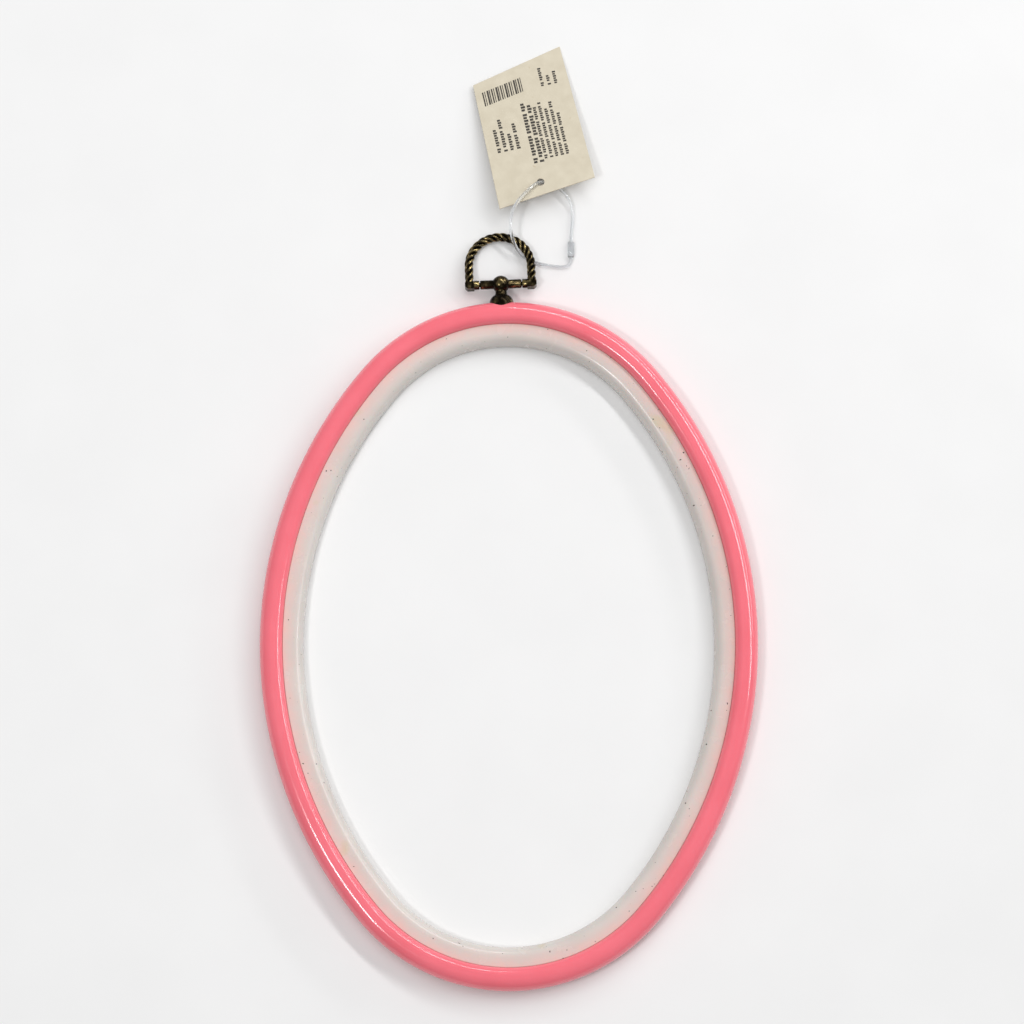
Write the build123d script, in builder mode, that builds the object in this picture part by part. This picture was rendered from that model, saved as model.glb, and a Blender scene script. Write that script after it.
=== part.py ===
"""Oval embroidery hoop: a flexible outer ring stretched round a rigid inner ring, with a swinging bail.

Millimetres. +Z is the hoop's front, +Y points from the hoop to its hanger, and the origin is the
centre of the oval on the table that the hoop lies on.
"""

from build123d import *
from math import asin, atan2, cos, degrees, pi, radians, sin, sqrt, tan
import os

# The hoop's outline: an oval of four tangent arcs
hoop_width = 178.0
hoop_length = 248.0
end_radius = 69.0

# Outer ring, a soft band with a round face
band_width = 8.0
ring_height = 10.0
crest_radius = 4.6
inner_crest_radius = 3.0
underside_radius = 3.0
steps_in_a_round = 4

# Inner ring, rigid, with a lip behind the outer ring
ring_gap = 0.3
inner_band_width = 7.5
ledge_height = 7.3
shoulder_radius = 3.8
lip_reach = 3.2
lip_height = 1.6
lip_chamfer = 0.5
back_chamfer = 0.6

# Hanger: base, post with its barrel, and the screw that holds them
hanger_offset = 2.7
axle_standoff = 6.9
seat_gap = 0.05
base_radius = 4.4
base_top_radius = 2.9
base_height = 2.6
base_skirt = 3.0
neck_radius = 2.5
waist_radius = 2.1
ball_radius = 3.2
barrel_radius = 1.65
barrel_length = 15.0
barrel_rim = 0.3
axle_radius = 0.8
running_clearance = 0.06
pin_clearance = 0.02
screw_radius = 1.0
screw_clearance = 0.1
thread_length = 2.8
thread_spare = 0.2
head_radius = 2.0
head_height = 1.3
head_edge = 0.3
slot_width = 0.5
slot_depth = 0.6
washer_radius = 2.15
washer_height = 0.5
recess_radius = 2.3
recess_spare = 0.2

# Bail: a D of twisted rope with square lower corners
bail_width = 25.8
bail_reach = 18.5
rope_radius = 1.6
rope_root_radius = 1.16
crest_share = 0.4
rope_pitch = 10.0
rope_strands = 4
steps_in_a_turn = 4
boss_radius = 1.65
boss_gap = 0.3
corner_top = 0.8
corner_foot = 1.75
corner_mitre = 0.9
corner_proud = 0.1
corner_edge_radius = 0.35
axle_end_wall = 1.4
table_gap = 0.05

# Tag, its loop and the loop's lock
tag_width = 35.0
tag_length = 48.0
tag_thickness = 0.45
tag_hole_radius = 1.4
tag_hole = Vector(11.5, 168.5, 6.5)
tag_turn = 12.8
tag_corner_shares = ((-0.449, 0.852), (0.497, 0.992), (0.526, -0.061), (-0.494, -0.138))
tag_corner_radius = 0.6
loop_diameter = 1.1
loop_sides = 6
lock_length = 5.6
lock_width = 2.4
lock_height = 2.2
lock_edge_radius = 0.8
lock_rim = 0.2
lock_dimple_radius = 0.6
lock_dimple_depth = 0.5

# One overrun serves every cut
cut_over = 1.0

# The oval's arcs, from its width, length and end radius
half_length = hoop_length / 2
half_width = hoop_width / 2
end_centre = half_length - end_radius
side_radius = (half_width**2 + end_centre**2 - end_radius**2) / (2 * (half_width - end_radius))
side_centre = side_radius - half_width
join_angle = degrees(atan2(end_centre, side_centre))
oval_arcs = (
    ((-side_centre, 0), side_radius, -join_angle, 2 * join_angle),
    ((0, end_centre), end_radius, join_angle, 180 - 2 * join_angle),
    ((side_centre, 0), side_radius, 180 - join_angle, 2 * join_angle),
    ((0, -end_centre), end_radius, 180 + join_angle, 180 - 2 * join_angle),
)


def rounded_corner(x, y, radius, start):
    """A quarter round about (x, y) in a few flats, so that the ring has few facets."""
    turns = [radians(start + 90 * step / steps_in_a_round) for step in range(steps_in_a_round + 1)]
    return [(x + radius * cos(turn), y + radius * sin(turn)) for turn in turns]


def ring_from(section):
    """Carry a section round the four arcs. Its x runs out from the hoop's outline, its y is height."""
    with BuildPart() as ring:
        for (x, y), radius, start, turn in oval_arcs:
            out = Vector(cos(radians(start)), sin(radians(start)))
            across = Vector(out.Y, -out.X)
            with BuildSketch(Plane(Vector(x, y) + out * radius, x_dir=out, z_dir=across)):
                add(section.sketch)
            revolve(axis=Axis((x, y), (0, 0, 1)), revolution_arc=turn)
    return ring.part


# Levels and widths that the two rings share
inner_wall = -(band_width + ring_gap)
opening_wall = inner_wall - (inner_band_width - ring_gap)
lip_edge = inner_wall + lip_reach
rebate_height = lip_height + ring_gap
rebate_edge = lip_edge + ring_gap

with BuildSketch() as outer_section:
    with BuildLine():
        Polyline(
            *rounded_corner(-underside_radius, underside_radius, underside_radius, -90),
            *rounded_corner(-crest_radius, ring_height - crest_radius, crest_radius, 0),
            *rounded_corner(
                inner_crest_radius - band_width,
                ring_height - inner_crest_radius,
                inner_crest_radius,
                90,
            ),
            (-band_width, rebate_height),
            (rebate_edge, rebate_height),
            (rebate_edge, 0),
            close=True,
        )
    make_face()

with BuildSketch() as inner_section:
    with BuildLine():
        Polyline(
            (lip_edge, 0),
            (lip_edge, lip_height - lip_chamfer),
            (lip_edge - lip_chamfer, lip_height),
            (inner_wall, lip_height),
            (inner_wall, ledge_height),
            *rounded_corner(
                opening_wall + shoulder_radius,
                ledge_height - shoulder_radius,
                shoulder_radius,
                90,
            ),
            (opening_wall, back_chamfer),
            (opening_wall + back_chamfer, 0),
            close=True,
        )
    make_face()

# The hanger stands square on the top arc, a little left of its middle
hanger_height = (rebate_height + ledge_height) / 2
hanger_lean = degrees(asin(hanger_offset / end_radius))
hanger_across = Vector(cos(radians(hanger_lean)), sin(radians(hanger_lean)))
hanger_out = Vector(-hanger_across.Y, hanger_across.X)
hanger_seat = Vector(0, end_centre, hanger_height) + hanger_out * end_radius
hanger_plane = Plane(hanger_seat, x_dir=hanger_across, z_dir=(0, 0, 1))
hanger_axis = Axis(hanger_seat, hanger_out)
axle_centre = hanger_seat + hanger_out * axle_standoff
axle_axis = Axis(axle_centre, hanger_across)
droop = degrees(asin((hanger_height - rope_radius - table_gap) / bail_reach))
bail_plane = Plane(axle_centre, x_dir=hanger_across, z_dir=(0, 0, 1)).rotated((-droop, 0, 0))

# The screw's recess, sunk in the wall that faces the inner ring
recess_depth = head_height + washer_height + recess_spare
recess_floor = -band_width + recess_depth

with BuildPart() as outer_ring:
    add(ring_from(outer_section))
    with BuildSketch(hanger_plane):
        with BuildLine():
            Polyline(
                (0, -band_width - cut_over),
                (recess_radius, -band_width - cut_over),
                (recess_radius, recess_floor),
                (screw_radius + screw_clearance, recess_floor),
                (screw_radius + screw_clearance, cut_over),
                (0, cut_over),
                close=True,
            )
        make_face()
    revolve(axis=hanger_axis, mode=Mode.SUBTRACT)

with BuildPart() as inner_ring:
    add(ring_from(inner_section))

# Hanger base: a domed cup, coped to the ring's round face
with BuildSketch() as cope_section:
    offset(outer_section.sketch, amount=seat_gap, kind=Kind.INTERSECTION)

with BuildPart() as hanger_base:
    with BuildSketch(hanger_plane):
        with BuildLine():
            skirt = Polyline(
                (screw_radius + screw_clearance, base_height),
                (screw_radius + screw_clearance, -base_skirt),
                (base_radius, -base_skirt),
                (base_radius, 0),
            )
            dome = RadiusArc(skirt @ 1, (base_top_radius, base_height), -base_height * sqrt(2))
            Line(dome @ 1, skirt @ 0)
        make_face()
    revolve(axis=hanger_axis)
    add(ring_from(cope_section), mode=Mode.SUBTRACT)

# Hanger post: neck, ball and barrel in one casting, bored for the axle and tapped for the screw
post_foot = base_height + seat_gap
ball_start = axle_standoff - sqrt(ball_radius**2 - waist_radius**2)

with BuildPart() as hanger_post:
    with BuildSketch(hanger_plane):
        with BuildLine():
            foot = Polyline((0, post_foot), (neck_radius, post_foot))
            waist = RadiusArc(foot @ 1, (waist_radius, ball_start), neck_radius)
            ball_side = ThreePointArc(
                waist @ 1,
                (ball_radius, axle_standoff),
                (0, axle_standoff + ball_radius),
            )
            Line(ball_side @ 1, foot @ 0)
        make_face()
    revolve(axis=hanger_axis)
    with BuildSketch(Plane(axle_centre, x_dir=hanger_out, z_dir=hanger_across)):
        Circle(barrel_radius)
    extrude(amount=barrel_length / 2, both=True)
    barrel_ends = faces().filter_by(GeomType.PLANE).sort_by(axle_axis)
    chamfer((barrel_ends[0] + barrel_ends[-1]).edges(), barrel_rim)
    with BuildSketch(Plane(axle_centre, x_dir=hanger_out, z_dir=hanger_across)):
        Circle(axle_radius + running_clearance)
    extrude(amount=barrel_length / 2 + cut_over, both=True, mode=Mode.SUBTRACT)
    with BuildSketch(hanger_plane):
        with Locations((0, post_foot)):
            Rectangle(screw_radius + pin_clearance, thread_length, align=(Align.MIN, Align.MIN))
    revolve(axis=hanger_axis, mode=Mode.SUBTRACT)


# Screw and washer, put in from the side that the inner ring covers
head_seat = recess_floor - washer_height
head_top = head_seat - head_height

with BuildPart() as hanger_screw:
    with BuildSketch(hanger_plane):
        with BuildLine():
            Polyline(
                (0, head_top),
                (head_radius - head_edge, head_top),
                (head_radius, head_top + head_edge),
                (head_radius, head_seat),
                (screw_radius, head_seat),
                (screw_radius, post_foot + thread_length - thread_spare),
                (0, post_foot + thread_length - thread_spare),
                close=True,
            )
        make_face()
    revolve(axis=hanger_axis)
    with BuildSketch(Plane(hanger_seat + hanger_out * head_top, x_dir=hanger_across, z_dir=hanger_out)):
        Rectangle(2 * head_radius + cut_over, slot_width)
    extrude(amount=slot_depth, mode=Mode.SUBTRACT)

with BuildPart() as screw_washer:
    with BuildSketch(Plane(hanger_seat + hanger_out * head_seat, x_dir=hanger_across, z_dir=hanger_out)):
        Circle(washer_radius)
        Circle(screw_radius + screw_clearance, mode=Mode.SUBTRACT)
    extrude(amount=washer_height)

# Bail: the rope's middle line runs up one limb, round the half circle and down the other
limb_place = bail_width / 2 - rope_radius
limb_length = bail_reach - limb_place - corner_top
arch_height = corner_top + limb_length
rope_length = 2 * limb_length + pi * limb_place
section_count = round(rope_length / rope_pitch * steps_in_a_turn) + 1


def rope_place(along):
    """The point and the direction of the rope's middle line, in the bail's plane."""
    if along < limb_length:
        return Vector(-limb_place, corner_top + along), Vector(0, 1)
    if along > rope_length - limb_length:
        return Vector(limb_place, corner_top + rope_length - along), Vector(0, -1)
    angle = pi - (along - limb_length) / limb_place
    return (
        Vector(limb_place * cos(angle), arch_height + limb_place * sin(angle)),
        Vector(sin(angle), -cos(angle)),
    )


# The rope's section has a flat crest and two flanks to each strand
rope_outline = [
    (size * cos(turn), size * sin(turn))
    for strand in range(rope_strands)
    for size, turn in (
        (rope_root_radius, pi * (2 * strand - 1) / rope_strands),
        (rope_radius, pi * (2 * strand - crest_share) / rope_strands),
        (rope_radius, pi * (2 * strand + crest_share) / rope_strands),
    )
]

# Each limb stands on a mitred corner block, and a bored boss runs in from the block to the barrel
corner_reach = rope_radius + corner_proud
corner_in = limb_place - corner_reach
corner_out = limb_place + corner_reach
boss_start = barrel_length / 2 + boss_gap
bore_end = corner_out - axle_end_wall

with BuildPart() as bail:
    for side in (-1, 1):
        limb_foot = Plane((side * limb_place, corner_top, 0), x_dir=(side, 0, 0), z_dir=(0, -1, 0))
        with BuildSketch(bail_plane * limb_foot):
            RectangleRounded(2 * corner_reach, 2 * corner_reach, corner_edge_radius)
        extrude(amount=corner_top + corner_foot)
        with BuildSketch(bail_plane):
            with BuildLine():
                Polyline(
                    (side * (corner_out + cut_over), corner_mitre - corner_foot + cut_over),
                    (side * (corner_out - corner_mitre - cut_over), -corner_foot - cut_over),
                    (side * (corner_out + cut_over), -corner_foot - cut_over),
                    close=True,
                )
            make_face()
        extrude(amount=corner_reach + cut_over, both=True, mode=Mode.SUBTRACT)
    with BuildSketch(Plane(axle_centre, x_dir=hanger_out, z_dir=hanger_across)):
        Circle(boss_radius)
    extrude(amount=limb_place, both=True)
    with BuildSketch(Plane(axle_centre, x_dir=hanger_out, z_dir=hanger_across)):
        Circle(boss_radius + cut_over)
    extrude(amount=boss_start, both=True, mode=Mode.SUBTRACT)
    with BuildSketch(Plane(axle_centre, x_dir=hanger_out, z_dir=hanger_across)):
        Circle(axle_radius + pin_clearance)
    extrude(amount=bore_end, both=True, mode=Mode.SUBTRACT)
    for step in range(section_count):
        along = rope_length * step / (section_count - 1)
        place, ahead = rope_place(along)
        twist = 2 * pi * along / rope_pitch
        aside = Vector(ahead.Y, -ahead.X) * cos(twist) - Vector(0, 0, 1) * sin(twist)
        with BuildSketch(bail_plane * Plane(place, x_dir=aside, z_dir=ahead)):
            with BuildLine():
                Polyline(*rope_outline, close=True)
            make_face()
    loft()

with BuildPart() as bail_axle:
    with BuildSketch(Plane(axle_centre, x_dir=hanger_out, z_dir=hanger_across)):
        Circle(axle_radius)
    extrude(amount=bore_end - pin_clearance, both=True)

# Tag: a card cut a little out of square, whose top edge lies on the table
tag_top_share = max(y for x, y in tag_corner_shares)
tag_tilt = degrees(asin((tag_hole.Z - tag_thickness / 2 - table_gap) / (tag_top_share * tag_length)))
tag_plane = Plane(tag_hole, x_dir=(cos(radians(tag_turn)), sin(radians(tag_turn)), 0), z_dir=(0, 0, 1))
tag_plane = tag_plane.rotated((-tag_tilt, 0, 0))

with BuildPart() as tag:
    with BuildSketch(tag_plane):
        with BuildLine():
            corners = [(x * tag_width, y * tag_length) for x, y in tag_corner_shares]
            FilletPolyline(*corners, radius=tag_corner_radius, close=True)
        make_face()
        Circle(tag_hole_radius, mode=Mode.SUBTRACT)
    extrude(amount=tag_thickness / 2, both=True)

# Tag loop: out of the lock, up through the card's hole, over the bail's top and back under its limb
loop_route = [
    (22.6, 147.4, 1.1),
    (22.7, 151.4, 1.1),
    (23.4, 156.6, 1.2),
    (22.8, 161.6, 1.7),
    (20.2, 165.6, 2.5),
    (16.3, 168.3, 3.4),
    (13.0, 169.15, 4.75),
    (10.0, 167.85, 8.25),
    (7.5, 165.4, 9.6),
    (3.9, 161.7, 9.9),
    (1.2, 157.2, 9.7),
    (0.4, 152.4, 8.5),
    (0.9, 148.3, 6.9),
    (2.5, 144.8, 4.3),
    (4.3, 142.6, 2.0),
    (6.2, 141.3, 0.6),
    (10.4, 139.6, 0.6),
    (15.4, 138.5, 0.6),
    (20.9, 138.1, 0.8),
    (22.6, 139.7, 1.1),
    (22.6, 141.8, 1.1),
]


def corner_radii(points, run_share=0.45):
    """The largest arc that the two runs at each corner allow."""
    points = [Vector(*point) for point in points]
    radii = []
    for before, corner, after in zip(points, points[1:], points[2:]):
        turn = radians((corner - before).get_angle(after - corner))
        shorter_run = min((corner - before).length, (after - corner).length)
        radii.append(run_share * shorter_run / tan(turn / 2))
    return radii


loop_radii = corner_radii(loop_route)
with BuildPart() as tag_loop:
    with BuildLine() as loop_line:
        FilletPolyline(*loop_route, radius=loop_radii)
    with BuildSketch(Plane(loop_route[0], z_dir=loop_line.line % 0)) as loop_section:
        RegularPolygon(loop_diameter / 2, loop_sides)
    sweep(path=loop_line.line)

loop_length = sum(edge.length for edge in loop_line.edges())
print("loop radii", [round(radius, 1) for radius in loop_radii])
print("loop length", round(loop_length, 1), "volume over section times length",
      round(tag_loop.part.volume / (loop_section.sketch.area * loop_length), 4))

# Loop's lock: a rounded clip that both ends go into
lock_start = Vector(*loop_route[-1])
with BuildPart() as loop_lock:
    with BuildSketch(Plane(lock_start, x_dir=(1, 0, 0), z_dir=(0, 1, 0))):
        RectangleRounded(lock_width, lock_height, lock_edge_radius)
    extrude(amount=lock_length)
    lock_ends = faces().filter_by(Axis.Y).sort_by(Axis.Y)
    chamfer((lock_ends[0] + lock_ends[-1]).edges(), lock_rim)
    with BuildSketch(Plane(lock_start + (0, lock_length / 2, lock_height / 2))):
        Circle(lock_dimple_radius)
    extrude(amount=-lock_dimple_depth, mode=Mode.SUBTRACT)

os.makedirs("parts", exist_ok=True)
pieces = {
    "outer_ring": outer_ring,
    "inner_ring": inner_ring,
    "hanger_base": hanger_base,
    "hanger_post": hanger_post,
    "hanger_screw": hanger_screw,
    "screw_washer": screw_washer,
    "bail": bail,
    "bail_axle": bail_axle,
    "tag": tag,
    "tag_loop": tag_loop,
    "loop_lock": loop_lock,
}
for name, piece in pieces.items():
    piece.part.label = name
    export_step(piece.part, f"parts/{name}.step")
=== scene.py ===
"""Studio picture of an oval embroidery hoop that lies on its back.

Metres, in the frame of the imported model: +Z is the hoop's front and +Y points to its hanger. The soft
outer ring, the rigid inner ring, the rope bail, the card and its nylon loop are modelled here in fine
detail. The post, base, screw, washer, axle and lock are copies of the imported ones, shaded smooth.
"""

from math import asin, atan2, ceil, cos, pi, radians, sin, sqrt

import bmesh
import bpy
from mathutils import Matrix, Vector


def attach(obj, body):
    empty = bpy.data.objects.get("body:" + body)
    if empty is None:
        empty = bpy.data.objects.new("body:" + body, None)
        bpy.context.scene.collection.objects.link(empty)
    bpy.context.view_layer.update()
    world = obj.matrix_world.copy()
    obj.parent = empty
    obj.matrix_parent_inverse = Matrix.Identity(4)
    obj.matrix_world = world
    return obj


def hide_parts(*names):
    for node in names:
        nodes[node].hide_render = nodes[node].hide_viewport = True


MM = 0.001

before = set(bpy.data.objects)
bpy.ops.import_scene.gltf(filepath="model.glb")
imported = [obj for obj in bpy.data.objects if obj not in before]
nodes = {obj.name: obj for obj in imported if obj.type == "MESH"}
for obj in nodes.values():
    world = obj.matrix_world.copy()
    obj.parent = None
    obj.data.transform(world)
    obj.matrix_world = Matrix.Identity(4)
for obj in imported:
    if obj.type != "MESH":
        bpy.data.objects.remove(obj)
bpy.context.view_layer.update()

# The hoop's outline, four tangent arcs
hoop_width = 178 * MM
hoop_length = 248 * MM
end_radius = 69 * MM
end_centre = hoop_length / 2 - end_radius
half_width = hoop_width / 2
side_radius = (half_width**2 + end_centre**2 - end_radius**2) / (2 * (half_width - end_radius))
side_centre = side_radius - half_width
join_angle = atan2(end_centre, side_centre)
oval_arcs = (
    ((-side_centre, 0), side_radius, -join_angle, 2 * join_angle),
    ((0, end_centre), end_radius, join_angle, pi - 2 * join_angle),
    ((side_centre, 0), side_radius, pi - join_angle, 2 * join_angle),
    ((0, -end_centre), end_radius, pi + join_angle, pi - 2 * join_angle),
)

# The two rings' sections
band_width = 8 * MM
ring_height = 10 * MM
crest_radius = 4.6 * MM
inner_crest_radius = 3 * MM
underside_radius = 3 * MM
ring_gap = 0.3 * MM
seam = 0.03 * MM
inner_band_width = 7.5 * MM
ledge_height = 7.3 * MM
shoulder_radius = 3.8 * MM
lip_reach = 3.2 * MM
lip_height = 1.6 * MM
edge_radius = 0.45 * MM
ledge_edge_radius = 0.15 * MM
pink_reflection_reach = 6 * MM

# The hanger, seen from its centre line
hanger_offset = 2.7 * MM
axle_standoff = 6.9 * MM
bail_width = 25.8 * MM
bail_reach = 18.5 * MM
rope_radius = 1.6 * MM
strand_radius = 0.72 * MM
rope_pitch = 10 * MM
rope_strands = 4
barrel_length = 15 * MM
table_gap = 0.05 * MM

# The card, its loop and the loop's lock
tag_size = (35 * MM, 48 * MM)
tag_thickness = 0.45 * MM
tag_hole_radius = 1.4 * MM
tag_hole = Vector((11.5, 168.5, 6.5)) * MM
tag_turn = radians(12.8)
tag_corner_shares = ((-0.449, 0.889), (0.532, 1.05), (0.562, -0.056), (-0.480, -0.141))
loop_diameter = 1.1 * MM
# In millimetres, from the lock's upper end through the card's hole and round the bail to its lower end
loop_route = [
    (22.6, 147.4, 1.1),
    (22.7, 151.4, 1.1),
    (23.4, 156.6, 1.2),
    (22.8, 161.6, 1.7),
    (20.2, 165.6, 2.5),
    (16.3, 168.3, 3.4),
    (13.0, 169.15, 4.75),
    (10.0, 167.85, 8.25),
    (7.5, 165.4, 9.6),
    (3.9, 161.7, 9.9),
    (1.2, 157.2, 9.7),
    (0.4, 152.4, 8.5),
    (0.9, 148.3, 6.9),
    (2.5, 144.8, 4.3),
    (4.3, 142.6, 2.0),
    (6.2, 141.3, 0.6),
    (10.4, 139.6, 0.6),
    (15.4, 138.5, 0.6),
    (20.9, 138.1, 0.8),
    (22.6, 139.7, 1.1),
    (22.6, 141.8, 1.1),
]


# Materials

# Nearly all of a noise texture lies between these values
noise_low = 0.3
noise_high = 0.7


def new_material(name, colour, roughness, metallic=0.0):
    """A principled material and its node tree, with object coordinates ready."""
    material = bpy.data.materials.new(name)
    material.use_nodes = True
    tree = material.node_tree
    shader = tree.nodes["Principled BSDF"]
    shader.inputs["Base Color"].default_value = (*colour, 1)
    shader.inputs["Roughness"].default_value = roughness
    shader.inputs["Metallic"].default_value = metallic
    return material, tree, shader


def noise(tree, scale, detail=3.0):
    """Noise in the piece's own coordinates, scale in waves per metre."""
    place = tree.nodes.new("ShaderNodeTexCoord")
    texture = tree.nodes.new("ShaderNodeTexNoise")
    texture.inputs["Scale"].default_value = scale
    texture.inputs["Detail"].default_value = detail
    tree.links.new(place.outputs["Object"], texture.inputs["Vector"])
    return texture.outputs["Fac"]


def ramp(tree, value, *stops):
    """A colour ramp from (place, colour) stops."""
    node = tree.nodes.new("ShaderNodeValToRGB")
    points = node.color_ramp.elements
    while len(points) < len(stops):
        points.new(1)
    for point, (place, colour) in zip(points, stops):
        point.position = place
        point.color = (*colour, 1)
    tree.links.new(value, node.inputs["Fac"])
    return node.outputs["Color"]


def spread(tree, value, low, high):
    """Map a noise value to a range."""
    node = tree.nodes.new("ShaderNodeMapRange")
    node.inputs["From Min"].default_value = noise_low
    node.inputs["From Max"].default_value = noise_high
    node.inputs["To Min"].default_value = low
    node.inputs["To Max"].default_value = high
    tree.links.new(value, node.inputs["Value"])
    return node.outputs["Result"]


def rough(tree, shader, value, depth):
    """Bump of a real depth in metres."""
    bump = tree.nodes.new("ShaderNodeBump")
    bump.inputs["Strength"].default_value = 1
    bump.inputs["Distance"].default_value = depth
    tree.links.new(value, bump.inputs["Height"])
    tree.links.new(bump.outputs["Normal"], shader.inputs["Normal"])


def mixed(tree, kind, share, first, second):
    """A colour mix of two sockets, or of a socket and a colour."""
    node = tree.nodes.new("ShaderNodeMix")
    node.data_type = "RGBA"
    node.blend_type = kind
    tree.links.new(share, node.inputs["Factor"])
    for socket, source in ((node.inputs["A"], first), (node.inputs["B"], second)):
        if isinstance(source, tuple):
            socket.default_value = (*source, 1)
        else:
            tree.links.new(source, socket)
    return node.outputs["Result"]


def pink_vinyl():
    """Soft glossy vinyl with faint clouding and a few dull patches from handling."""
    material, tree, shader = new_material("pink_vinyl", (0.90, 0.19, 0.24), 0.2)
    dark, light = (0.87, 0.157, 0.20), (0.93, 0.183, 0.233)
    clouds = ramp(tree, noise(tree, 45), (noise_low, dark), (noise_high, light))
    tree.links.new(clouds, shader.inputs["Base Color"])
    tree.links.new(spread(tree, noise(tree, 130), 0.12, 0.20), shader.inputs["Roughness"])
    shader.inputs["Subsurface Weight"].default_value = 0.12
    shader.inputs["Subsurface Scale"].default_value = 1.5 * MM
    shader.inputs["Subsurface Radius"].default_value = (1, 0.4, 0.4)
    shader.inputs["Coat Weight"].default_value = 0.5
    shader.inputs["Coat Roughness"].default_value = 0.07
    rough(tree, shader, noise(tree, 200, 2), 0.003 * MM)
    return material


def white_plastic():
    """Off-white moulded plastic with dust specks and faint yellow stains, and the soft ring's pink
    painted on by the seam as a reflection.
    """
    material, tree, shader = new_material("white_plastic", (0.60, 0.575, 0.54), 0.26)
    dark, light = (0.60, 0.555, 0.52), (0.65, 0.61, 0.575)
    base = ramp(tree, noise(tree, 60), (noise_low, dark), (noise_high, light))
    stain = ramp(tree, noise(tree, 95, 1), (0.70, (0, 0, 0)), (0.78, (0.5, 0.5, 0.5)))
    # Painted reflection: the soft ring's pink is mixed into the rigid ring's colour by the seam
    pink_reflection = tree.nodes.new("ShaderNodeAttribute")
    pink_reflection.attribute_name = "pink_reflection"
    cloudy = spread(tree, noise(tree, 220, 2), 0, 1)
    share = mixed(tree, "MULTIPLY", cloudy, pink_reflection.outputs["Color"], (0.55, 0.55, 0.55))
    with_pink_reflection = mixed(tree, "MIX", share, base, (0.79, 0.53, 0.485))
    stained = mixed(tree, "MIX", stain, with_pink_reflection, (0.62, 0.52, 0.32))
    speck = ramp(tree, noise(tree, 1150, 0), (0.835, (0, 0, 0)), (0.85, (1, 1, 1)))
    tree.links.new(mixed(tree, "MIX", speck, stained, (0.05, 0.045, 0.04)), shader.inputs["Base Color"])
    tree.links.new(spread(tree, noise(tree, 170), 0.18, 0.30), shader.inputs["Roughness"])
    shader.inputs["Subsurface Weight"].default_value = 0.08
    shader.inputs["Subsurface Scale"].default_value = 1 * MM
    rough(tree, shader, noise(tree, 500, 2), 0.006 * MM)
    return material


def antique_bronze():
    """Near-black bronze, rubbed to dull gold in small patches and where its rub value is high; that
    gold on the strand crests and on tops is rubbed wear and a painted highlight.
    """
    material, tree, shader = new_material("antique_bronze", (0.05, 0.038, 0.02), 0.3, 1)
    patches = ramp(
        tree,
        noise(tree, 420, 5),
        (0.46, (0.016, 0.012, 0.007)),
        (0.60, (0.06, 0.045, 0.022)),
        (0.74, (0.34, 0.26, 0.12)),
    )
    # Gold on strand crests and tops is rubbed wear and also a painted highlight
    rub_and_highlight = tree.nodes.new("ShaderNodeAttribute")
    rub_and_highlight.attribute_name = "rub_and_highlight"
    cloudy = spread(tree, noise(tree, 260, 2), 0, 1)
    uneven = mixed(tree, "MULTIPLY", cloudy, rub_and_highlight.outputs["Color"], (0.6, 0.6, 0.6))
    rub_and_highlight_share = ramp(tree, uneven, (0.64, (0, 0, 0)), (0.94, (0.8, 0.8, 0.8)))
    tint = mixed(tree, "MIX", rub_and_highlight_share, patches, (0.54, 0.42, 0.19))
    tree.links.new(tint, shader.inputs["Base Color"])
    tree.links.new(spread(tree, noise(tree, 1100), 0.15, 0.30), shader.inputs["Roughness"])
    rough(tree, shader, noise(tree, 2600, 3), 0.005 * MM)
    return material


def plated_steel():
    """Plain plated steel, a little dull."""
    material, tree, shader = new_material("plated_steel", (0.55, 0.53, 0.48), 0.32, 1)
    tree.links.new(spread(tree, noise(tree, 1500), 0.24, 0.42), shader.inputs["Roughness"])
    rough(tree, shader, noise(tree, 3000, 2), 0.006 * MM)
    return material


def clear_nylon():
    """Clear moulded nylon with a slight haze."""
    material, tree, shader = new_material("clear_nylon", (0.93, 0.95, 0.97), 0.08)
    shader.inputs["Transmission Weight"].default_value = 0.88
    shader.inputs["IOR"].default_value = 1.53
    tree.links.new(spread(tree, noise(tree, 800), 0.05, 0.16), shader.inputs["Roughness"])
    rough(tree, shader, noise(tree, 1800, 1), 0.01 * MM)
    return material


def cream_card():
    """Uncoated card with fibres and a little foxing."""
    material, tree, shader = new_material("cream_card", (0.63, 0.57, 0.45), 0.82)
    dark, light = (0.60, 0.54, 0.42), (0.66, 0.60, 0.475)
    base = ramp(tree, noise(tree, 260, 6), (noise_low, dark), (noise_high, light))
    fox = ramp(tree, noise(tree, 420, 1), (0.74, (0, 0, 0)), (0.80, (0.35, 0.35, 0.35)))
    tree.links.new(mixed(tree, "MIX", fox, base, (0.45, 0.32, 0.18)), shader.inputs["Base Color"])
    rough(tree, shader, noise(tree, 2400, 5), 0.03 * MM)
    return material


def tag_ink():
    """Dark ink, faded unevenly."""
    material, tree, shader = new_material("tag_ink", (0.09, 0.075, 0.06), 0.7)
    dark, light = (0.02, 0.018, 0.015), (0.08, 0.07, 0.06)
    fade = ramp(tree, noise(tree, 1600, 4), (noise_low, dark), (noise_high, light))
    tree.links.new(fade, shader.inputs["Base Color"])
    return material


def floor_paper():
    """White backdrop paper."""
    material, tree, shader = new_material("floor_paper", (0.80, 0.80, 0.80), 0.9)
    dark, light = (0.83, 0.83, 0.83), (0.85, 0.85, 0.85)
    tone = ramp(tree, noise(tree, 25), (noise_low, dark), (noise_high, light))
    tree.links.new(tone, shader.inputs["Base Color"])
    return material


pink = pink_vinyl()
white = white_plastic()
bronze = antique_bronze()
steel = plated_steel()
nylon = clear_nylon()
card = cream_card()
ink = tag_ink()


# Meshes


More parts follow.
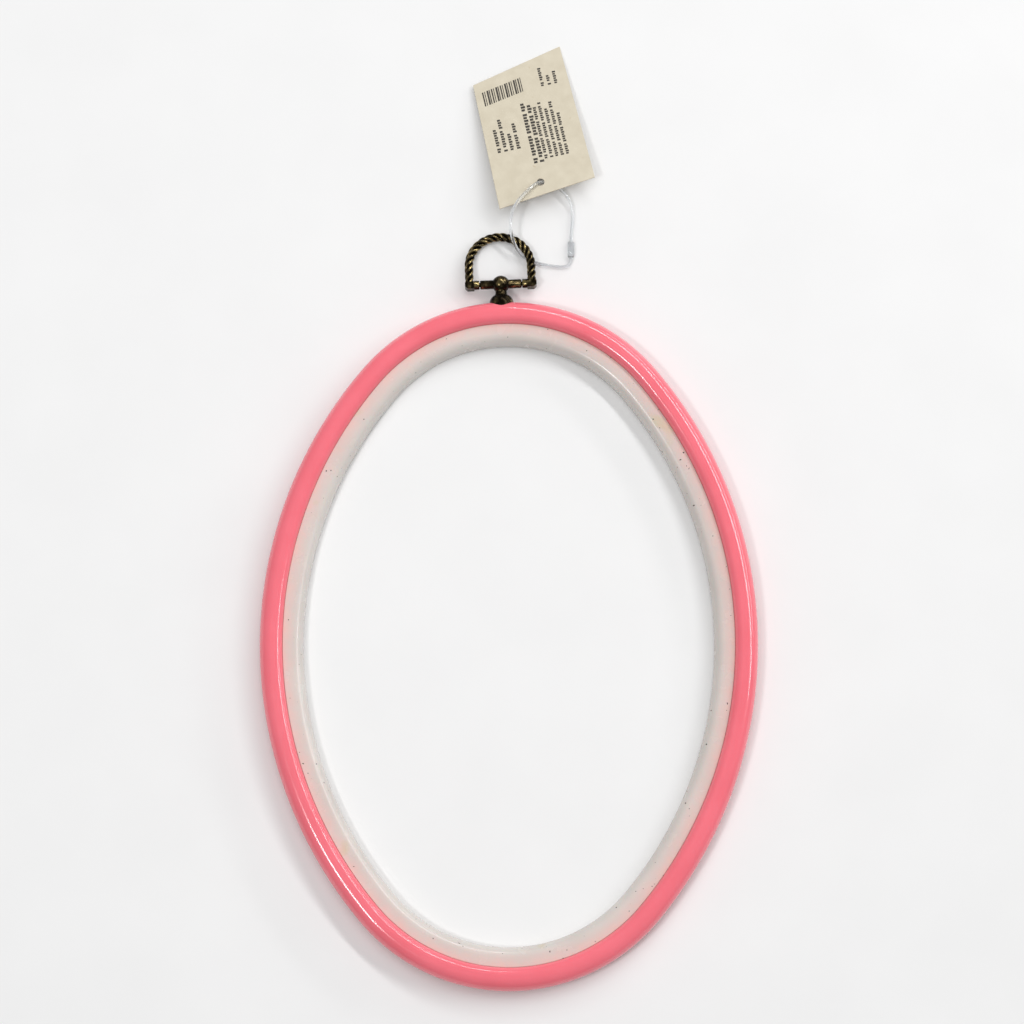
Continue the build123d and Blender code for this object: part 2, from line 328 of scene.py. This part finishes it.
def new_object(name, material, vertices, faces, sharp=radians(35)):
    """A smooth shaded mesh with sharp edges over an angle."""
    mesh = bpy.data.meshes.new(name)
    mesh.from_pydata([tuple(vertex) for vertex in vertices], [], faces)
    mesh.validate()
    work = bmesh.new()
    work.from_mesh(mesh)
    bmesh.ops.recalc_face_normals(work, faces=work.faces)
    work.to_mesh(mesh)
    work.free()
    mesh.shade_smooth()
    mesh.set_sharp_from_angle(angle=sharp)
    mesh.materials.append(material)
    made = bpy.data.objects.new(name, mesh)
    bpy.context.scene.collection.objects.link(made)
    return made


def tube_faces(rows, columns, closed):
    """Quads over a grid whose columns close round, and whose rows close too if closed."""
    last = rows if closed else rows - 1
    return [
        (
            row * columns + column,
            row * columns + (column + 1) % columns,
            (row + 1) % rows * columns + (column + 1) % columns,
            (row + 1) % rows * columns + column,
        )
        for row in range(last)
        for column in range(columns)
    ]


def capped_tube_faces(rows, columns):
    """The faces of a tube whose two ends are closed."""
    last = (rows - 1) * columns
    ends = [tuple(range(columns)), tuple(range(last, last + columns))]
    return tube_faces(rows, columns, False) + ends


def round_corner(x, y, radius, start, steps=16):
    """A quarter round about (x, y), from start degrees."""
    turns = [radians(start + 90 * step / steps) for step in range(steps + 1)]
    return [(x + radius * cos(turn), y + radius * sin(turn)) for turn in turns]


def oval_places(step=1 * MM):
    """Points of the outline with their outward directions."""
    places = []
    for (x, y), radius, start, turn in oval_arcs:
        count = ceil(turn * radius / step)
        for index in range(count):
            angle = start + turn * index / count
            out = Vector((cos(angle), sin(angle), 0))
            places.append((Vector((x, y, 0)) + out * radius, out))
    return places


def ring(name, material, section):
    """Carry a section round the outline. Its x runs out from the outline, its y is height."""
    vertices = []
    for place, out in oval_places():
        vertices += [place + out * x + Vector((0, 0, y)) for x, y in section]
    rows = len(vertices) // len(section)
    return new_object(name, material, vertices, tube_faces(rows, len(section), True))


inner_wall = -(band_width + ring_gap)
opening_wall = inner_wall - (inner_band_width - ring_gap)
lip_edge = inner_wall + lip_reach
rebate_height = lip_height + ring_gap
rebate_edge = lip_edge + ring_gap

# The soft ring closes on the rigid one, with only a thin seam between them
soft_wall = inner_wall + seam
outer_section = [
    *round_corner(-underside_radius, underside_radius, underside_radius, -90),
    *round_corner(-crest_radius, ring_height - crest_radius, crest_radius, 0),
    *round_corner(
        soft_wall + inner_crest_radius,
        ring_height - inner_crest_radius,
        inner_crest_radius,
        90,
    ),
    (soft_wall, rebate_height),
    (rebate_edge, rebate_height),
    (rebate_edge, 0),
]
edge_steps = 4
shoulder_steps = 20
inner_section = [
    *round_corner(lip_edge - edge_radius, lip_height - edge_radius, edge_radius, 0, edge_steps),
    (inner_wall, lip_height),
    *round_corner(
        inner_wall - ledge_edge_radius,
        ledge_height - ledge_edge_radius,
        ledge_edge_radius,
        0,
        edge_steps,
    ),
    *round_corner(
        opening_wall + shoulder_radius,
        ledge_height - shoulder_radius,
        shoulder_radius,
        90,
        shoulder_steps,
    ),
    *round_corner(opening_wall + edge_radius, edge_radius, edge_radius, 180, edge_steps),
    (lip_edge, 0),
]

outer_ring = ring("soft_outer_ring", pink, outer_section)
inner_ring = ring("rigid_inner_ring", white, inner_section)

# How strongly the soft ring's pink is painted on the rigid one as a reflection, from the seam inwards
pink_reflection = [
    max(0, 1 - (inner_wall - x) / pink_reflection_reach) if x <= inner_wall else 0
    for x, y in inner_section
]
section_count = len(inner_ring.data.vertices) // len(inner_section)
pink_reflection_data = inner_ring.data.attributes.new("pink_reflection", "FLOAT", "POINT").data
pink_reflection_data.foreach_set("value", pink_reflection * section_count)

# The hanger's own directions, its centre line and the bail's plane
hanger_height = (rebate_height + ledge_height) / 2
hanger_lean = asin(hanger_offset / end_radius)
hanger_across = Vector((cos(hanger_lean), sin(hanger_lean), 0))
hanger_out = Vector((-hanger_across.y, hanger_across.x, 0))
hanger_seat = Vector((0, end_centre, hanger_height)) + hanger_out * end_radius
axle_centre = hanger_seat + hanger_out * axle_standoff
droop = asin((hanger_height - rope_radius - table_gap) / bail_reach)
bail_along = hanger_out * cos(droop) - Vector((0, 0, sin(droop)))
bail_normal = hanger_across.cross(bail_along)

# The screw's recess in the outer ring's inner wall
recess_radius = 2.3 * MM
recess_depth = 2 * MM
cutter_reach = 1 * MM
recess_middle = hanger_seat - hanger_out * (band_width - (recess_depth - cutter_reach) / 2)
bpy.ops.mesh.primitive_cylinder_add(
    vertices=48,
    radius=recess_radius,
    depth=recess_depth + cutter_reach,
    location=recess_middle,
    rotation=hanger_out.to_track_quat("Z", "Y").to_euler(),
)
cutter = bpy.context.object
cut = outer_ring.modifiers.new("recess", "BOOLEAN")
cut.object = cutter
cut.operation = "DIFFERENCE"
cut.solver = "EXACT"
cut_ring = outer_ring.evaluated_get(bpy.context.evaluated_depsgraph_get())
cut_mesh = bpy.data.meshes.new_from_object(cut_ring)
outer_ring.modifiers.clear()
outer_ring.data = cut_mesh
bpy.data.objects.remove(cutter)


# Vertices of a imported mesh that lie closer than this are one
join_distance = 0.002 * MM


def smooth_copy(node, material, sharp=radians(30)):
    """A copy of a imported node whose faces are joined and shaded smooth."""
    made = nodes[node].copy()
    made.data = nodes[node].data.copy()
    made.name = node + "_finished"
    bpy.context.scene.collection.objects.link(made)
    work = bmesh.new()
    work.from_mesh(made.data)
    bmesh.ops.remove_doubles(work, verts=work.verts, dist=join_distance)
    bmesh.ops.recalc_face_normals(work, faces=work.faces)
    work.to_mesh(made.data)
    work.free()
    made.data.materials.clear()
    made.data.materials.append(material)
    made.data.shade_smooth()
    made.data.set_sharp_from_angle(angle=sharp)
    return made


post = smooth_copy("hanger_post", bronze)
base = smooth_copy("hanger_base", bronze)
screw = smooth_copy("hanger_screw", steel)
washer = smooth_copy("screw_washer", steel)
axle = smooth_copy("bail_axle", bronze)

# The bail: two mitred corner blocks with bosses, and the rope between them
corner_top = 0.8 * MM
corner_foot = 1.75 * MM
corner_mitre = 0.9 * MM
corner_reach = 1.7 * MM
corner_softness = 0.22 * MM
boss_radius = 1.65 * MM
boss_gap = 0.3 * MM
boss_rim = 0.15 * MM
boss_bore_radius = 0.82 * MM
boss_bore_depth = 1 * MM
boss_overlap = 0.2 * MM
boss_rub_and_highlight_depth = 1.8 * MM
post_rub_and_highlight_depth = 2.4 * MM
limb_place = bail_width / 2 - rope_radius
limb_length = bail_reach - limb_place - corner_top
arch_height = corner_top + limb_length
rope_length = 2 * limb_length + pi * limb_place
bail_frame = Matrix(
    [
        (hanger_across[i], bail_along[i], bail_normal[i], axle_centre[i])
        for i in range(3)
    ]
    + [(0, 0, 0, 1)]
)


def rope_place(along):
    """The point and the direction of the rope's middle line, in the bail's plane."""
    if along < limb_length:
        return Vector((-limb_place, corner_top + along, 0)), Vector((0, 1, 0))
    if along > rope_length - limb_length:
        return Vector((limb_place, corner_top + rope_length - along, 0)), Vector((0, -1, 0))
    angle = pi - (along - limb_length) / limb_place
    centre = Vector((0, arch_height, 0))
    return (
        centre + limb_place * Vector((cos(angle), sin(angle), 0)),
        Vector((sin(angle), -cos(angle), 0)),
    )


def strand_reach(offset):
    """How far the rope reaches at an angle from the middle of its nearest strand."""
    lay_radius = rope_radius - strand_radius
    return lay_radius * cos(offset) + sqrt(strand_radius**2 - (lay_radius * sin(offset)) ** 2)


def rope(name, material, step=0.16 * MM, points_round=56, overlap=0.3 * MM):
    """Round strands laid together: each point of the section lies on the nearest strand's circle."""
    half = pi / rope_strands
    root_radius = strand_reach(half)
    vertices = []
    rub_and_highlight_shares = []
    rows = ceil((rope_length + 2 * overlap) / step)
    for row in range(rows + 1):
        along = -overlap + (rope_length + 2 * overlap) * row / rows
        place, ahead = rope_place(along)
        aside = Vector((ahead.y, -ahead.x, 0))
        for index in range(points_round):
            turn = 2 * pi * index / points_round
            size = strand_reach((turn + half) % (2 * half) - half)
            angle = turn + 2 * pi * along / rope_pitch
            # The crests' rub value: rubbed wear and a painted highlight along each strand
            rub_and_highlight_shares.append((size - root_radius) / (rope_radius - root_radius))
            vertices.append(place + aside * size * cos(angle) - Vector((0, 0, 1)) * size * sin(angle))
    faces = capped_tube_faces(rows + 1, points_round)
    placed = [bail_frame @ vertex for vertex in vertices]
    made = new_object(name, material, placed, faces, sharp=radians(60))
    made.data.attributes.new("rub_and_highlight", "FLOAT", "POINT").data.foreach_set("value", rub_and_highlight_shares)
    return made


def lathe(name, material, start, along, profile, points_round=48):
    """A turned piece: profile is (distance along, radius) from start."""
    side = along.orthogonal().normalized()
    other = along.cross(side)
    vertices = []
    for distance, radius in profile:
        for index in range(points_round):
            turn = 2 * pi * index / points_round
            vertices.append(start + along * distance + (side * cos(turn) + other * sin(turn)) * radius)
    faces = capped_tube_faces(len(profile), points_round)
    return new_object(name, material, vertices, faces, sharp=radians(50))


def rub_and_highlight_top(piece, depth):
    """Give the top of a piece a rub value, fading over depth: gold as rubbed wear and as a painted
    highlight.
    """
    heights = [vertex.co.z for vertex in piece.data.vertices]
    top = max(heights)
    shares = [max(0, 1 - (top - height) / depth) for height in heights]
    piece.data.attributes.new("rub_and_highlight", "FLOAT", "POINT").data.foreach_set("value", shares)


def corner_block(name, material, side):
    """One lower corner of the bail, cut off square at the limb and mitred outside."""
    low, high = limb_place - corner_reach, limb_place + corner_reach
    outline = [
        (low, corner_top),
        (low, -corner_foot),
        (high - corner_mitre, -corner_foot),
        (high, corner_mitre - corner_foot),
        (high, corner_top),
    ]
    vertices = [(side * x, y, z) for z in (-corner_reach, corner_reach) for x, y in outline]
    count = len(outline)
    faces = [tuple(range(count)), tuple(range(count, 2 * count))]
    faces += [(i, (i + 1) % count, (i + 1) % count + count, i + count) for i in range(count)]
    made = new_object(name, material, [bail_frame @ Vector(vertex) for vertex in vertices], faces)
    soften = made.modifiers.new("soft_edges", "BEVEL")
    soften.width = corner_softness
    soften.segments = 4
    soften.harden_normals = True
    return made


boss_start = barrel_length / 2 + boss_gap
boss_end = limb_place - corner_reach + boss_overlap
boss_profile = [
    (boss_start + boss_bore_depth, boss_bore_radius),
    (boss_start, boss_bore_radius),
    (boss_start, boss_radius - boss_rim),
    (boss_start + boss_rim, boss_radius),
    (boss_end, boss_radius),
    (boss_end, boss_bore_radius),
]
bail_rope = rope("bail_rope", bronze)
bail_parts = [bail_rope]
# Gold on the tops of the bosses and the post: rubbed wear and a painted highlight
for side, word in ((-1, "left"), (1, "right")):
    bail_parts.append(corner_block(f"bail_corner_{word}", bronze, side))
    boss = lathe(f"bail_boss_{word}", bronze, axle_centre, hanger_across * side, boss_profile)
    rub_and_highlight_top(boss, boss_rub_and_highlight_depth)
    bail_parts.append(boss)
rub_and_highlight_top(post, post_rub_and_highlight_depth)

# The card, with its print as thin ink shapes
card_softness = 0.08 * MM
print_lift = 0.015 * MM
tag_top_share = max(y for x, y in tag_corner_shares)
tag_tilt = asin((tag_hole.z - tag_thickness / 2 - table_gap) / (tag_top_share * tag_size[1]))
tag_frame = (
    Matrix.Translation(tag_hole)
    @ Matrix.Rotation(tag_turn, 4, "Z")
    @ Matrix.Rotation(-tag_tilt, 4, "X")
)


def edge_point(corners, ray):
    """Where a ray from the hole's middle leaves the card."""
    parallel = 1e-12
    slack = 1e-9
    hits = []
    for first, second in zip(corners, corners[1:] + corners[:1]):
        edge = second - first
        cross = ray.x * edge.y - ray.y * edge.x
        if abs(cross) < parallel:
            continue
        reach = (first.x * edge.y - first.y * edge.x) / cross
        share = (first.x * ray.y - first.y * ray.x) / cross
        if reach > 0 and -slack <= share <= 1 + slack:
            hits.append(reach)
    return tuple(ray * min(hits))


def tag_card(name, material, steps=48):
    """The card: a four cornered sheet with a punched hole, softened at its edges."""
    turns = [2 * pi * i / steps for i in range(steps)]
    hole = [(tag_hole_radius * cos(turn), tag_hole_radius * sin(turn)) for turn in turns]
    corners = [Vector((x * tag_size[0], y * tag_size[1])) for x, y in tag_corner_shares]
    rim = [edge_point(corners, Vector((cos(turn), sin(turn)))) for turn in turns]
    # Put the rim's nearest points on the corners
    for corner in corners:
        nearest = min(range(steps), key=lambda i: (Vector(rim[i]) - corner).length)
        rim[nearest] = tuple(corner)
    half = tag_thickness / 2
    vertices = [(x, y, z) for z in (-half, half) for line in (hole, rim) for x, y in line]
    faces = []
    for i in range(steps):
        j = (i + 1) % steps
        faces.append((i, j, steps + j, steps + i))
        faces.append((2 * steps + i, 2 * steps + j, 3 * steps + j, 3 * steps + i))
        faces.append((i, j, 2 * steps + j, 2 * steps + i))
        faces.append((steps + i, steps + j, 3 * steps + j, 3 * steps + i))
    made = new_object(name, material, [tag_frame @ Vector(vertex) for vertex in vertices], faces)
    soften = made.modifiers.new("soft_edges", "BEVEL")
    soften.width = card_softness
    soften.segments = 2
    soften.limit_method = "ANGLE"
    return made


tag = tag_card("tag_card", card)


def printed(name, bars, slope=0.0):
    """Flat ink bars on the card: each is (x, y, width, height) from the hole, on a slope across."""
    lift = tag_thickness / 2 + print_lift
    vertices, faces = [], []
    for x, y, width, height in bars:
        start = len(vertices)
        for dx, dy in ((0, 0), (width, 0), (width, height), (0, height)):
            vertices.append(tag_frame @ Vector((x + dx, y + dy + slope * (x + dx), lift)))
        faces.append(tuple(range(start, start + 4)))
    return new_object(name, ink, vertices, faces)


# The marks of the print, as shares of their height, and how many stand for a word
mark_share = 0.55
mark_gap_share = 0.17
word_gap_share = 0.5
short_mark_share = 0.8
word_marks = 7
first_word_marks = 2


def text_rows(x, y, lengths, pitch, height):
    """Rows of small plain marks that stand for lines of print along the card's long side."""
    mark_size = mark_share * height
    mark_gap = mark_gap_share * height
    bars = []
    for row, length in enumerate(lengths):
        # Each row starts one mark further into its first word
        mark = row
        place = 0
        while place < length:
            width = height if mark % 2 else short_mark_share * height
            bars.append((x + row * pitch, y + place, width, mark_size))
            place += mark_size + mark_gap
            mark += 1
            if mark % word_marks == first_word_marks:
                place += word_gap_share * height
    return bars


# A block of plain stripes across the card's top
stripe_left = -13.2 * MM
stripe_foot = 35.8 * MM
stripe_height = 5.6 * MM
stripe_widths = (0.5 * MM, 0.3 * MM, 0.66 * MM, 0.38 * MM)
stripe_pitch = 0.86 * MM
stripe_count = 18
top_slope = 0.18
stripes = [
    (stripe_left + i * stripe_pitch, stripe_foot, stripe_widths[i % len(stripe_widths)], stripe_height)
    for i in range(stripe_count)
]
stripe_print = printed("stripe_print", stripes, top_slope)

# Blocks of marks, in millimetres from the hole: place, lengths of the rows, pitch and height
print_blocks = (
    ((-12.6, 14.5), (9, 13, 6, 10), 2.4, 1.35),
    ((-0.6, 7.5), (24, 22), 2.2, 1.6),
    ((3.6, 8.5), (20, 22, 19, 21, 16), 2, 1.2),
    ((8.6, 36.5), (7.5, 3.5, 4.5), 2.5, 1.2),
)
marks = []
for (x, y), lengths, pitch, height in print_blocks:
    marks += text_rows(x * MM, y * MM, [length * MM for length in lengths], pitch * MM, height * MM)
tag_print = printed("tag_print", marks)

# The nylon loop and its lock
loop_data = bpy.data.curves.new("nylon_loop", "CURVE")
loop_data.dimensions = "3D"
loop_data.bevel_depth = loop_diameter / 2
loop_data.bevel_resolution = 8
loop_data.resolution_u = 12
loop_data.use_fill_caps = True
line = loop_data.splines.new("NURBS")
line.points.add(len(loop_route) - 1)
for point, place in zip(line.points, loop_route):
    point.co = (*(Vector(place) * MM), 1)
line.order_u = 3
line.use_endpoint_u = True
loop_data.materials.append(nylon)
nylon_loop = bpy.data.objects.new("nylon_loop", loop_data)
bpy.context.scene.collection.objects.link(nylon_loop)
lock = smooth_copy("loop_lock", nylon)

# Bodies and replaced nodes
for piece in (outer_ring, post, base, screw, washer):
    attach(piece, "outer")
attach(inner_ring, "inner")
for piece in (*bail_parts, axle):
    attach(piece, "hanging_bail")
for piece in (nylon_loop, lock):
    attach(piece, "loop")
for piece in (tag, tag_print, stripe_print):
    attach(piece, "card")
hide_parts("outer_ring")
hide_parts("inner_ring")
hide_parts("hanger_post")
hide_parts("hanger_base")
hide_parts("hanger_screw")
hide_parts("screw_washer")
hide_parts("bail_axle")
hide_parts("bail")
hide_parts("tag_loop")
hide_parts("loop_lock")
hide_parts("tag")

# Floor, light and camera
floor_size = 6
floor_drop = 0.02 * MM
bpy.ops.mesh.primitive_plane_add(size=floor_size, location=(0, 0, -floor_drop))
floor = bpy.context.object
floor.name = "floor"
floor.data.materials.append(floor_paper())

sky_strength = 0.33
scene = bpy.context.scene
world = bpy.data.worlds.new("studio")
scene.world = world
world.use_nodes = True
background = world.node_tree.nodes["Background"]
background.inputs["Color"].default_value = (1, 1, 1, 1)
background.inputs["Strength"].default_value = sky_strength

lamp_target = Vector((0, 0.03, 0))


def soft_box(name, place, size, power):
    """A rectangular area light, in metres and watts, that points near the middle of the part."""
    data = bpy.data.lights.new(name, "AREA")
    data.shape = "RECTANGLE"
    data.size, data.size_y = size
    data.energy = power
    light = bpy.data.objects.new(name, data)
    light.location = place
    light.rotation_mode = "QUATERNION"
    light.rotation_quaternion = (lamp_target - Vector(place)).to_track_quat("-Z", "Y")
    light.visible_camera = False
    scene.collection.objects.link(light)
    return light


# Long thin lamps draw the thin bright lines along the rings, and the fill draws none
soft_box("key", place=(1.00, 1.02, 1.40), size=(2.8, 0.15), power=21)
soft_box("second", place=(1.25, 0.95, 0.55), size=(1.7, 0.1), power=5)
soft_box("third", place=(-0.60, -0.32, 1.38), size=(0.3, 0.2), power=5)
fill = soft_box("fill", place=(-0.15, 0.45, 1.55), size=(1.0, 1.0), power=6.5)
fill.visible_glossy = False

view_tilt = radians(80.5)
view_middle = Vector((1.1, 47.85, 0)) * MM
view_width = 369.2 * MM
lens = 135
sensor_width = 36
farthest_view = 20
camera_data = bpy.data.cameras.new("camera")
camera_data.lens = lens
camera_data.sensor_width = sensor_width
camera_data.clip_end = farthest_view
camera = bpy.data.objects.new("camera", camera_data)
back = Vector((0, -cos(view_tilt), sin(view_tilt)))
camera.location = view_middle + back * view_width * lens / sensor_width
camera.rotation_mode = "QUATERNION"
camera.rotation_quaternion = (-back).to_track_quat("-Z", "Y")
scene.collection.objects.link(camera)
scene.camera = camera
scene.view_settings.view_transform = "Standard"
